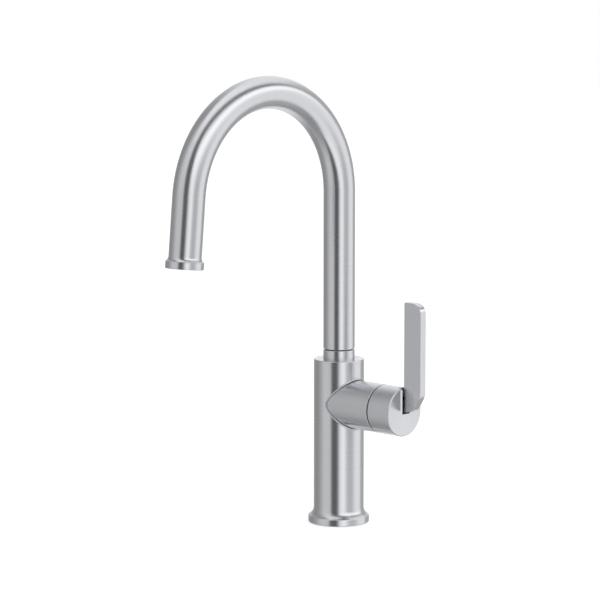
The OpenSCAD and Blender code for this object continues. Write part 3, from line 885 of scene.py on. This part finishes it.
@dataclass
class SideValve:
    """The sleeve on the column and the turning hub with the lever's slot."""

    valve_z: float = 96.4
    r: float = 19.15
    sleeve_start: float = 5.0
    sleeve_floor: float = 16.0
    sleeve_bore: float = 15.0
    sleeve_end: float = 47.0
    sleeve_round: float = 0.4
    hub_start: float = 48.0
    hub_end: float = 69.9
    hub_low_round: float = 0.8
    hub_round: float = 0.9
    bore_r: float = 9.5
    bore_end: float = 55.0
    pocket_low: float = -7.0
    pocket_high: float = 11.5
    pocket_end: float = 67.0
    pocket_left: float = 3.85
    pocket_right: float = 5.25
    slot_x: float = 66.0
    slot_left: float = 3.5
    slot_right: float = 4.95
    slot_floor: float = -1.45
    slot_round: float = 0.25
    lip_h: float = 0.9
    lip_w: float = 1.25
    lip_crest: float = 0.15
    lip_root: float = 0.4
    lip_sunk: float = 0.02
    lip_edge: float = 0.08
    screw_x: float = 52.0
    screw_r: float = 2.5
    screw_depth: float = 9.6
    pin_x: float = 61.5
    pin_r: float = 1.5
    pin_depth: float = 13.8
    # How far the patch round a hole reaches, along X and in degrees to each side
    hole_margin: float = 3.0
    hole_half: float = 14.0
    # How far apart the points of the round side are at most, in degrees and along X
    angle_step: float = 2.0
    x_step: float = 0.5

    @property
    def axis(self) -> StraightAxis:
        """The valve's axis, with angle zero at the top and a quarter turn at -Y."""
        return StraightAxis((0, 0, self.valve_z), (1, 0, 0), (0, 0, 1))

    def sleeve(self) -> Skin:
        """The fixed sleeve: a cup turned round the valve's axis."""
        skin = Skin(self.axis)
        floor, bore = self.sleeve_floor, self.sleeve_bore
        shape = [(0, floor, 0), (0, self.sleeve_start, 0), (self.r, self.sleeve_start, 0)]
        shape += [(self.r, self.sleeve_end, self.sleeve_round), (bore, self.sleeve_end, INNER_ROUND)]
        skin.sweep(section([*shape, (bore, floor, 0)]))
        return skin

    def away(self, angles: Array) -> Array:
        """Directions at angles from the top towards -Y."""
        return np.stack([0 * angles, -np.sin(angles), np.cos(angles)], -1)

    def spot(self, rho: Array, angles: Array, x: float | Array) -> Array:
        """Points at a radius, an angle from the top towards -Y, and a distance along X."""
        x = np.broadcast_to(x, np.broadcast_shapes(np.shape(rho), np.shape(angles)))
        return np.stack([x, -rho * np.sin(angles), self.valve_z + rho * np.cos(angles)], -1)

    def round_side(self, spots: Array) -> tuple[Array, Array]:
        """Points and normals of the round side at (angle, distance) spots."""
        return self.spot(self.r, spots[..., 0], spots[..., 1]), self.away(spots[..., 0])

    def slot_edge(self, angles: Array, left: float, right: float, floor: float) -> Array:
        """Distance from the axis to the slot's walls and floor, along each angle.

        A wall is its distance over the sine, the floor its depth over the cosine,
        and the nearest of them counts.
        """
        sine, cosine = np.sin(angles), np.cos(angles)
        wall = np.where(sine > 0, left, right) / np.maximum(np.abs(sine), 1e-9)
        return np.where(cosine < 0, np.minimum(wall, -floor / np.maximum(-cosine, 1e-9)), wall)

    def pocket_edge(self, angles: Array) -> Array:
        """Distance from the axis to the walls of the pocket behind the slot."""
        walls = self.slot_edge(angles, self.pocket_left, self.pocket_right, self.pocket_low)
        cosine = np.cos(angles)
        return np.where(cosine > 0, np.minimum(walls, self.pocket_high / np.maximum(cosine, 1e-9)), walls)

    def hole_window(self) -> list[float]:
        """The angles at the back between which the screw's and pin's holes lie."""
        return [TURN - math.radians(90 + self.hole_half), TURN - math.radians(90 - self.hole_half)]

    def open_angles(self) -> Array:
        """The angles from the slot's -Y edge round the bottom to its +Y edge.

        They stop at every corner of slot, pocket and bore, and at the holes' window.
        One corner comes twice, a hair apart: the slot steps back along X there.
        """
        sides = [
            [
                math.asin(slot / self.r),
                math.atan2(slot, self.pocket_high),
                math.atan2(slot, self.pocket_high) + 1e-7,
                math.atan2(pocket, self.pocket_high),
                math.asin(pocket / self.bore_r),
                math.pi / 2,
                math.atan2(slot, self.slot_floor),
                math.atan2(pocket, self.pocket_low),
            ]
            for slot, pocket in ((self.slot_left, self.pocket_left), (self.slot_right, self.pocket_right))
        ]
        right = sorted([TURN - v for v in sides[1]] + self.hole_window())
        stops = sorted(sides[0]) + [math.pi] + [v for v in right if abs(v - 1.5 * math.pi) > 1e-6]
        return steps_between(stops, math.radians(self.angle_step))

    def hub(self) -> Skin:
        """The hub: rings of points round the axis, joined from the bore outwards and back.

        Every ring uses the same angles, so that neighbouring faces share points.
        """
        skin = Skin(self.axis)
        opened = self.open_angles()
        across = np.linspace(opened[-1] - TURN, opened[0], 13)
        full = np.append(opened, across[1:] + TURN)
        away = self.away(full)

        def ring(rho: float | Array, x: float | Array) -> Array:
            """One ring over every angle."""
            return self.spot(rho * np.ones_like(full), full, x)

        back, low = ring(self.bore_r, self.hub_start), self.hub_low_round
        edge = self.r - low
        skin.grid([ring(self.bore_r, self.bore_end), back], [-away, -away])
        skin.grid([back, ring(edge, self.hub_start)])
        swing = np.linspace(0, math.pi / 2, 7)
        rounded = [ring(edge + low * math.sin(v), self.hub_start + low * (1 - math.cos(v))) for v in swing]
        lean = swing[:, None, None]
        skin.grid(rounded, np.sin(lean) * away - np.cos(lean) * X_WAY)
        self.side_wall(skin, full)
        self.slotted_end(skin, opened)
        slot = self.slot_edge(full, self.slot_left, self.slot_right, self.slot_floor)
        slot = np.where((full <= opened[-1]) & (full >= opened[0]), slot, self.r)
        pocket, step = self.pocket_edge(full), self.slot_start(full)
        inner = [(slot, step), (pocket, step), (pocket, self.bore_end), (self.bore_r, self.bore_end)]
        skin.grid([ring(rho, x) for rho, x in inner])
        self.lips(skin)
        return skin

    def slot_start(self, angles: Array) -> Array:
        """Where the slot begins along X: above the pocket at its back wall, else at the pocket's end."""
        width = np.where(np.sin(angles) > 0, self.slot_left, self.slot_right)
        above = np.cos(angles) * width >= np.abs(np.sin(angles)) * self.pocket_high - 1e-9
        return np.where(above, self.slot_x, self.pocket_end)

    def lips(self, skin: Skin) -> None:
        """Adds the low ridge along each side of the slot: a wedge carried up to the rim.

        Its top follows the rim: the height is the root of the rim's radius squared
        less y squared.
        """
        w, h, root, sunk = self.lip_w, self.lip_h, self.lip_root, self.lip_sunk
        shape = [(-sunk, -root, 0), (w, -root, 0), (w, 0, 0)]
        shape = section([*shape, (self.lip_crest, h, self.lip_edge), (-sunk, h, self.lip_edge)])
        for wall, way in ((-self.slot_left, -1.0), (self.slot_right, 1.0)):
            ends, outs = [], []
            for spot, out in shape.ends:
                y = wall + way * spot[:, 0]
                top = self.valve_z + np.sqrt((self.r - self.hub_round) ** 2 - y**2)
                low = np.full_like(y, self.valve_z + self.slot_floor)
                ends.append([np.stack([self.hub_end + spot[:, 1], y, z], -1) for z in (low, top)])
                outs.append(np.stack([out[:, 1], way * out[:, 0], 0 * y], -1))
            (low_a, top_a), (low_b, top_b) = ends
            low_mid, top_mid = (gathered(v, loop=False) for v in (low_a, top_a))
            turn = slice(None, None, -1 if way > 0 else 1)
            normals = np.stack([outs[0], outs[1], outs[1], outs[0]], 1)
            skin.facets(np.stack([low_a, low_b, top_b, top_a], 1)[:, turn], normals[:, turn])
            skin.facets(np.stack([low_mid, low_mid, low_b, low_a], 1)[:, turn])
            skin.facets(np.stack([top_a, top_b, top_mid, top_mid], 1)[:, turn])

    def side_wall(self, skin: Skin, full: Array) -> None:
        """Adds the hub's round side up to the slot, with the screw's and pin's holes at the back.

        A hole along Y meets the side at the height z where y is the root of the
        radius squared less z squared.
        """
        low, high = self.hole_window()
        inside = (full > low - 1e-9) & (full < high + 1e-9)
        parts = [full[: np.argmax(inside) + 1], full[np.nonzero(inside)[0][-1] :]]
        holes = [(self.screw_x, self.screw_r, self.screw_depth), (self.pin_x, self.pin_r, self.pin_depth)]
        edges = [x + way * self.hole_margin for x, _, _ in holes for way in (-1, 1)]
        stops = [self.hub_start + self.hub_low_round, *edges, self.slot_x]
        for i, ends in enumerate(zip(stops[:-1], stops[1:])):
            xs = steps_between(ends, self.x_step)
            pierced = i % 2 == 1
            for angles in parts if pierced else [full]:
                skin.grid(*self.round_side(np.stack(np.meshgrid(angles, xs), -1)))
            if pierced:
                self.pierced(skin, Window(full[inside], xs), *holes[i // 2])

    def pierced(self, skin: Skin, window: Window, x: float, r: float, depth: float) -> None:
        """Adds a patch of the side with a round hole along Y, the hole's wall and its floor.

        Args:
            skin: what it is added to.
            window: the patch.
            x: the hole's place along X.
            r: its radius.
            depth: the Y where its floor lies.
        """
        border = window.border()
        middle = 1.5 * math.pi
        turned = np.arctan2(border[:, 1] - x, self.r * (border[:, 0] - middle))
        height, along = r * np.cos(turned), x + r * np.sin(turned)
        edge = np.stack([middle + np.arcsin(height / self.r), along], -1)
        share = np.linspace(0, 1, 7)[:, None, None]
        skin.grid(*self.round_side((edge * (1 - share) + border * share)[::-1]))
        into = np.stack([-np.sin(turned), 0 * turned, -np.cos(turned)], -1)
        mouth, _ = self.round_side(edge)
        floor = mouth.copy()
        floor[:, 1] = depth
        skin.grid([mouth, floor], [into, into])
        skin.grid([floor, np.broadcast_to([x, depth, self.valve_z], floor.shape)])

    def slotted_end(self, skin: Skin, opened: Array) -> None:
        """Adds the end with its rounded rim, its flat face and the slot's rounded walls.

        Towards the end the rim's radius shrinks and the slot widens by quarter
        circles; the two meet where the wall's distance is the radius' sine.
        """
        quarter = np.linspace(0, math.pi / 2, 9)
        first = self.hub_end - self.hub_round
        xs = np.concatenate([[self.slot_x], first + self.hub_round * np.sin(quarter)])
        radius = np.concatenate([[self.r], self.r - self.hub_round * (1 - np.cos(quarter))])
        flare_x = np.clip((xs - (self.hub_end - self.slot_round)) / self.slot_round, 0, 1)
        flare = self.slot_round * (1 - np.sqrt(1 - flare_x**2))
        share = (opened - opened[0]) / (opened[-1] - opened[0])
        base = self.slot_edge(opened, self.slot_left, self.slot_right, self.slot_floor)
        left, right, floor = self.slot_left + flare, self.slot_right + flare, self.slot_floor - flare
        rim_a = np.arcsin(left / radius)[:, None]
        rim_b = TURN - np.arcsin(right / radius)[:, None]
        rim_angles = rim_a + share * (rim_b - rim_a)
        rim = self.spot(radius[:, None], rim_angles, xs[:, None])
        lean = np.concatenate([[0], quarter])[:, None, None]
        skin.grid(rim, np.cos(lean) * self.away(rim_angles) + np.sin(lean) * X_WAY)
        on_left = opened <= math.pi - 1e-9
        first_side = np.where(on_left, self.slot_left, self.slot_right)
        side = np.where(on_left, left[:, None], right[:, None])
        wall_y = -base * np.sin(opened) * (side / first_side)
        y = np.where(np.abs(opened - math.pi) < 1e-9, 0, wall_y)
        top = np.sqrt(radius[:, None] ** 2 - side**2)
        first_top = np.sqrt(self.r**2 - first_side**2)
        lift = (base * np.cos(opened) - self.slot_floor) / (first_top - self.slot_floor)
        z = floor[:, None] + lift * (top - floor[:, None])
        slot = np.stack([np.broadcast_to(xs[:, None], y.shape), y, self.valve_z + z], -1)
        slot[0, :, 0] = self.slot_start(opened)
        self.slot_walls(skin, slot[::-1], opened, flare_x[::-1])
        skin.grid([rim[-1], slot[-1]])

    def slot_walls(self, skin: Skin, rows: Array, opened: Array, flare: Array) -> None:
        """Adds the slot's two walls and floor, each with its own smooth rounding at the end."""
        corners = [math.atan2(self.slot_left, self.slot_floor)]
        corners += [TURN - math.atan2(self.slot_right, self.slot_floor)]
        splits = [0, *(int(np.argmin(np.abs(opened - c))) for c in corners), len(opened) - 1]
        tilt = flare[:, None, None]
        for a, b, way in zip(splits[:-1], splits[1:], (Y_WAY, Z_WAY, -Y_WAY)):
            part = rows[:, a : b + 1]
            skin.grid(part, np.broadcast_to(np.sqrt(1 - tilt**2) * way + tilt * X_WAY, part.shape))

    def place(self, finish: bpy.types.Material) -> None:
        """Builds the sleeve and the hub."""
        place_piece(self.sleeve(), "side_sleeve", Body.BODY, ["valve_sleeve"], finish)
        place_piece(self.hub(), "lever_hub", Body.HUB, ["handle_hub"], finish)


@dataclass
class Lever:
    """The upright blade with its tang, pivot eye and forked tail."""

    valve_z: float = 96.4
    pivot_x: float = 61.5
    low_y: float = -1.85
    high_y: float = 4.65
    blade_x: float = 70.5
    width: float = 16.9
    top: float = 86.0
    low: float = 0.26
    low_slope: float = 8.0
    turn: float = 9.1
    turn_r: float = 8.0
    cut_slope: float = 58.0
    foot_r: float = 10.0
    top_r: float = 8.0
    inner_r: float = 0.7
    edge: float = 0.5
    eye_r: float = 4.0
    eye_bore: float = 1.55
    half_w: float = 3.25
    tail_half: float = 4.0
    tail_end: float = 9.7
    tail_tilt: float = 10.0
    fork_half: float = 2.35
    fork_floor: float = 5.2
    prong_root: float = 0.8
    inset: float = 0.05
    tang: tuple[tuple[float, float], ...] = (
        (10.5, 2.6),
        (10.5, 9.0),
        (1.5, 9.0),
        (-4.0, 4.0),
        (-4.0, 0.0),
        (2.571, -3.064),
        (5.0, 0.6),
        (8.4, 1.9),
    )

    axis = StraightAxis((0, 0, 0), (0, 0, 1), (1, 0, 0))

    def corners(self) -> Array:
        """The blade's five corners in x and height, from the inner low one round."""
        turn_x, out_x = self.blade_x + self.turn, self.blade_x + self.width
        turn_z = self.low + self.turn * math.tan(math.radians(self.low_slope))
        foot_z = turn_z + (out_x - turn_x) * math.tan(math.radians(self.cut_slope))
        low = [(self.blade_x, self.low), (turn_x, turn_z), (out_x, foot_z)]
        return np.array([*low, (out_x, self.top), (self.blade_x, self.top)])

    def outline(self, inset: float) -> Section:
        """The blade's outline in x and height, moved in by the inset.

        A corner moves along its bisector by the inset over the sine of half its
        angle, and its rounding shrinks by the inset.
        """
        spots = self.corners()
        back, on = unit(np.roll(spots, 1, 0) - spots), unit(np.roll(spots, -1, 0) - spots)
        half = np.arccos((back * on).sum(1)) / 2
        moved = spots + unit(back + on) * (inset / np.sin(half))[:, None]
        rounding = np.array([self.inner_r, self.turn_r, self.foot_r, self.top_r, self.inner_r]) - inset
        return section([(*spot, r) for spot, r in zip(moved.tolist(), rounding.tolist())], steps=14)

    def blade(self, skin: Skin) -> None:
        """Adds the blade: its outline carried over the rounded edge from face to face.

        At angle v of the edge's quarter circle the outline moves in by the edge's
        radius times one less the cosine, and the depth is short of the face by the
        radius times one less the sine.
        """
        quarter = np.linspace(math.pi / 2, 0, 9)
        rows, outs = [], []
        for v, face in [(v, 1.0) for v in quarter] + [(v, -1.0) for v in quarter[::-1]]:
            shape = self.outline(self.edge * (1 - math.cos(v)))
            y = (self.high_y if face > 0 else self.low_y) - face * self.edge * (1 - math.sin(v))
            start, out = looped(shape.start), math.cos(v) * looped(shape.start_normal)
            even = np.ones(len(start))
            rows.append(np.stack([start[:, 0], y * even, self.valve_z + start[:, 1]], -1))
            outs.append(np.stack([out[:, 0], face * math.sin(v) * even, out[:, 1]], -1))
        skin.grid([gathered(rows[0]), *rows, gathered(rows[-1])], [outs[0], *outs, outs[-1]])

    def tang_reach(self, angles: Array) -> Array:
        """Distance from the pivot to the tang's outline along each angle.

        Between two corners it is their cross product over the cross product of the
        direction and the step from one corner to the other.
        """
        spots = np.array(self.tang)
        turned = np.unwrap(np.arctan2(spots[:, 1], spots[:, 0]))
        a, b = spots, np.roll(spots, -1, 0)
        which = (np.searchsorted(turned, turned[0] + (angles - turned[0]) % TURN + 1e-9) - 1) % len(spots)
        a, step = a[which], (b - a)[which]
        way = np.stack([np.cos(angles), np.sin(angles)], -1)
        return cross(a, step) / cross(way, step)

    def tail_reach(self, angles: Array) -> Array:
        """Distance from the pivot to the tail's block: the nearer of its end and its long sides."""
        tilt = math.pi + math.radians(self.tail_tilt)
        ahead, aside = np.cos(angles - tilt), np.abs(np.sin(angles - tilt))
        end = self.fork_floor / np.maximum(ahead, 1e-9)
        return np.where(ahead > 1e-6, np.minimum(end, self.tail_half / np.maximum(aside, 1e-9)), 0)

    def mount(self, skin: Skin) -> None:
        """Adds the tang, eye and tail block round the pivot's bore, as rings about the pivot."""
        tilt = math.pi + math.radians(self.tail_tilt)
        corner = math.atan2(self.tail_half, self.fork_floor)
        stops = [math.atan2(z, x) for x, z in self.tang] + [tilt - corner, tilt + corner]
        stops = np.concatenate([np.linspace(0, TURN, 145), np.array(stops) % TURN])
        angles = np.unique(np.round(stops, 9))[::-1]
        eye = np.full_like(angles, self.eye_r)
        tail = np.maximum(eye, self.tail_reach(angles))
        tang = np.maximum(eye, self.tang_reach(angles))
        both, bore = np.maximum(tail, tang), np.full_like(angles, self.eye_bore)
        low, high = self.low_y + self.inset, self.high_y - self.inset
        rings = [(bore, -self.half_w), (tail, -self.half_w), (tail, low), (both, low)]
        rings += [(both, self.half_w), (tang, self.half_w), (tang, high), (bore, high)]
        ways = np.cos(angles), np.sin(angles)
        rows = [
            np.stack([self.pivot_x + r * ways[0], 0 * r + y, self.valve_z + r * ways[1]], -1)
            for r, y in [*rings, rings[0]]
        ]
        skin.grid(rows)

    def prongs(self, skin: Skin) -> None:
        """Adds the fork's two prongs, which start inside the tail's block."""
        tilt, half, r = math.radians(self.tail_tilt), self.half_w, INNER_ROUND
        back = np.array([-math.cos(tilt), 0, -math.sin(tilt)])
        up = np.array([-math.sin(tilt), 0, math.cos(tilt)])
        pivot = np.array([self.pivot_x, 0, self.valve_z])
        for low, high in ((-self.tail_half, -self.fork_half), (self.fork_half, self.tail_half)):
            corners = [(-half, low, r), (half, low, r), (half, high, r), (-half, high, r)]
            loop = looped(section(corners, steps=3).start)
            outline = loop[:, :1] * Y_WAY + loop[:, 1:] * up
            reaches = (self.fork_floor - self.prong_root, self.tail_end)
            near, far = (pivot + reach * back + outline for reach in reaches)
            skin.grid([gathered(far), far, near, gathered(near)])

    def place(self, finish: bpy.types.Material) -> None:
        """Builds the lever."""
        skin = Skin(self.axis, Grain.ALONG)
        self.blade(skin)
        self.mount(skin)
        self.prongs(skin)
        place_piece(skin, "lever_arm", Body.LEVER, ["lever_blade"], finish)


# ------------------------------------------------------------------- studio


@dataclass(frozen=True)
class Card:
    """A flat panel round the faucet, seen only in its reflections.

    It stands square to the bearing that it faces. Its edges are tangents: one
    unit to the side or up is as far as the panel is away.
    """

    facing: float
    left: float
    right: float
    low: float
    high: float
    soft: float
    level: float


@dataclass
class Studio:
    """Pale floor, white backdrop, soft box in a dark frame, and the camera."""

    camera_at: Triple = (1.435297, -1.519004, 0.465061)
    camera_way: Triple = (-0.69092603, 0.70994595, -0.13637441)
    lens: float = 160.639
    camera_bearing: float = -46.6
    cards: tuple[Card, ...] = (
        # White wall behind the faucet
        Card(180, -1.61, 0.71, -1.99, 3.0, 0.23, 1.0),
        # Dark card on the left
        Card(-125, -1.48, 1.47, -2.52, 3.26, 1.45, 0.34),
        # Dark frame round the soft box
        Card(37, -3.94, 4.88, -3.63, 4.05, 1.47, 0.12),
        # Mid-grey card on the right
        Card(120, -0.82, 1.05, -2.2, 0.88, 0.47, 0.5),
        # Soft box
        Card(37, -0.92, 5.45, -2.11, 1.44, 0.32, 1.02),
        # Greyer middle of the soft box
        Card(75, -7.92, 0.18, -0.7, 0.57, 0.5, 0.53),
        # Bright top of the soft box
        Card(50, -1.19, 2.33, 0.11, 1.21, 0.49, 1.5),
        # Bright strip on the left
        Card(10, -0.29, 0.63, -2.43, 0.54, 0.48, 1.22),
    )
    # The room's grey at each share of the way from straight down to straight up
    room: tuple[tuple[float, float], ...] = (
        (0.0, 0.355), (0.18, 0.77), (0.5, 0.7), (0.85, 0.84), (0.97, 1.11)
    )
    floor_r: float = 6000.0
    floor_drop: float = 0.2

    def camera(self) -> None:
        """The camera at the photograph's place, level, without shift."""
        data = bpy.data.cameras.new("photo_camera")
        data.lens = self.lens
        data.sensor_width = 36.0
        data.clip_end = 50.0
        camera = bpy.data.objects.new("photo_camera", data)
        camera.location = self.camera_at
        camera.rotation_euler = Vector(self.camera_way).to_track_quat("-Z", "Y").to_euler()
        bpy.context.scene.collection.objects.link(camera)
        bpy.context.scene.camera = camera

    def floor(self) -> None:
        """A pale floor that shows white to the camera and keeps the shadow.

        It is a disc of rings whose radius grows evenly.
        """
        angles, radii = np.meshgrid(np.linspace(0, TURN, 65), np.linspace(0, self.floor_r, 7))
        rows = np.stack([radii * np.cos(angles), radii * np.sin(angles), 0 * radii - self.floor_drop], -1)
        skin = Skin(StraightAxis((0, 0, 0), (0, 0, 1), (1, 0, 0)))
        skin.grid(rows[::-1])
        floor = skin.build("studio_floor")
        # Matt white paper: even, with no sheen
        material, tree, out = new_material("white_paper_sweep")
        seen = add_node(tree, "LightPath").outputs
        paper = add_node(tree, "BsdfDiffuse", {"Color": linear("#E6E6E6")}).outputs[0]
        glow = add_node(tree, "Emission", {"Color": WHITE, "Strength": 0.55}).outputs[0]
        dark = add_node(tree, "Emission", {"Strength": 0.0}).outputs[0]
        shown = seen["Is Camera Ray"]
        for ray in ("Is Glossy Ray", "Is Transmission Ray"):
            shown = add_node(tree, "Math", {0: shown, 1: seen[ray]}, operation="MAXIMUM").outputs[0]
        lift = add_node(tree, "MixShader", {0: shown, 1: dark, 2: glow}).outputs[0]
        both = add_node(tree, "AddShader", {0: paper, 1: lift})
        tree.links.new(both.outputs[0], out.inputs["Surface"])
        floor.data.materials.append(material)
        # The metal sees the cards run on below, as over a raised table
        floor.visible_glossy = False

    def world(self) -> None:
        """White to the camera; to the metal, a white room with the cards in front.

        A card covers a direction where its sideways and upward tangents, measured
        from the bearing it faces, lie between its edges; each edge is a smooth step.
        """
        world = bpy.data.worlds.new("white_studio")
        bpy.context.scene.world = world
        world.use_nodes = True
        tree = world.node_tree
        tree.nodes.clear()
        out = add_node(tree, "OutputWorld")
        way = add_node(tree, "TexCoord").outputs["Generated"]
        up = add_node(tree, "SeparateXYZ", {0: way}).outputs["Z"]
        share = add_node(tree, "Math", {0: up, 1: 0.5, 2: 0.5}, operation="MULTIPLY_ADD").outputs[0]
        room = add_node(tree, "ValToRGB", {0: share})
        for spot, level in self.room:
            stop = room.color_ramp.elements[0] if spot == 0.0 else room.color_ramp.elements.new(spot)
            stop.position, stop.color = spot, (level, level, level, 1)
        room.color_ramp.elements.remove(room.color_ramp.elements[-1])
        light = room.outputs["Color"]
        for card in self.cards:
            feed = {0: self.cover(tree, way, up, card), 6: light, 7: (card.level, card.level, card.level, 1)}
            light = add_node(tree, "Mix", feed, data_type="RGBA").outputs[2]
        seen = add_node(tree, "LightPath").outputs
        rays = {0: seen["Is Camera Ray"], 1: seen["Is Transmission Ray"]}
        plain = add_node(tree, "Math", rays, operation="MAXIMUM").outputs[0]
        shown = add_node(tree, "Mix", {0: plain, 6: light, 7: WHITE}, data_type="RGBA").outputs[2]
        glow = add_node(tree, "Background", {"Color": shown, "Strength": 1.0})
        tree.links.new(glow.outputs[0], out.inputs["Surface"])

    def cover(
        self, tree: bpy.types.NodeTree, way: bpy.types.NodeSocket, up: bpy.types.NodeSocket, card: Card
    ) -> bpy.types.NodeSocket:
        """How much of each direction a card covers, from 0 to 1.

        Args:
            tree: the world's tree.
            way: the direction.
            up: its height.
            card: the card.

        Returns:
            The socket that gives it.
        """
        bearing = math.radians(self.camera_bearing + card.facing)
        ahead = (math.cos(bearing), math.sin(bearing), 0.0)
        aside = (-math.sin(bearing), math.cos(bearing), 0.0)
        near, over = (
            add_node(tree, "VectorMath", {0: way, 1: v}, operation="DOT_PRODUCT").outputs["Value"]
            for v in (ahead, aside)
        )
        near = add_node(tree, "Math", {0: near, 1: 0.001}, operation="MAXIMUM").outputs[0]
        mask: object = 1.0
        for reach, low, high in ((over, card.left, card.right), (up, card.low, card.high)):
            tangent = add_node(tree, "Math", {0: reach, 1: near}, operation="DIVIDE").outputs[0]
            for start, stop in ((low, low + card.soft), (high, high - card.soft)):
                feed = {"Value": tangent, "From Min": start, "From Max": stop}
                step = add_node(tree, "MapRange", feed, interpolation_type="SMOOTHSTEP").outputs[0]
                mask = add_node(tree, "Math", {0: mask, 1: step}, operation="MULTIPLY").outputs[0]
        return mask

    def build(self) -> None:
        """Sets the stage."""
        self.floor()
        self.world()
        self.camera()
        bpy.context.scene.view_settings.view_transform = "Standard"


def dress_inner_parts(frame: dict) -> None:
    """Gives every CAD node that stays visible the finish of its material slot.

    Args:
        frame: what the loaded frame gives.
    """
    made = {slot.value: finish.material() for slot, finish in SLOT_FINISH.items()}
    for row in frame["record"]["subparts"]:
        node, slot = frame["nodes"][row["node"]], row["material_slot"]
        if node.hide_render or slot not in made:
            continue
        for spot in node.material_slots:
            spot.material = made[slot]
        LOG.info("%s: %s", node.name, made[slot].name)


def main() -> None:
    """Builds the faucet's looks in order and reports each piece."""
    logging.basicConfig(level=logging.INFO, format="%(name)s: %(message)s")
    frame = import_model()
    nickel = BrushedMetal().material()
    Column().place(nickel)
    Spout().place(nickel)
    SideValve().place(nickel)
    Lever().place(nickel)
    dress_inner_parts(frame)
    Studio().build()


if __name__ == "__main__":
    main()
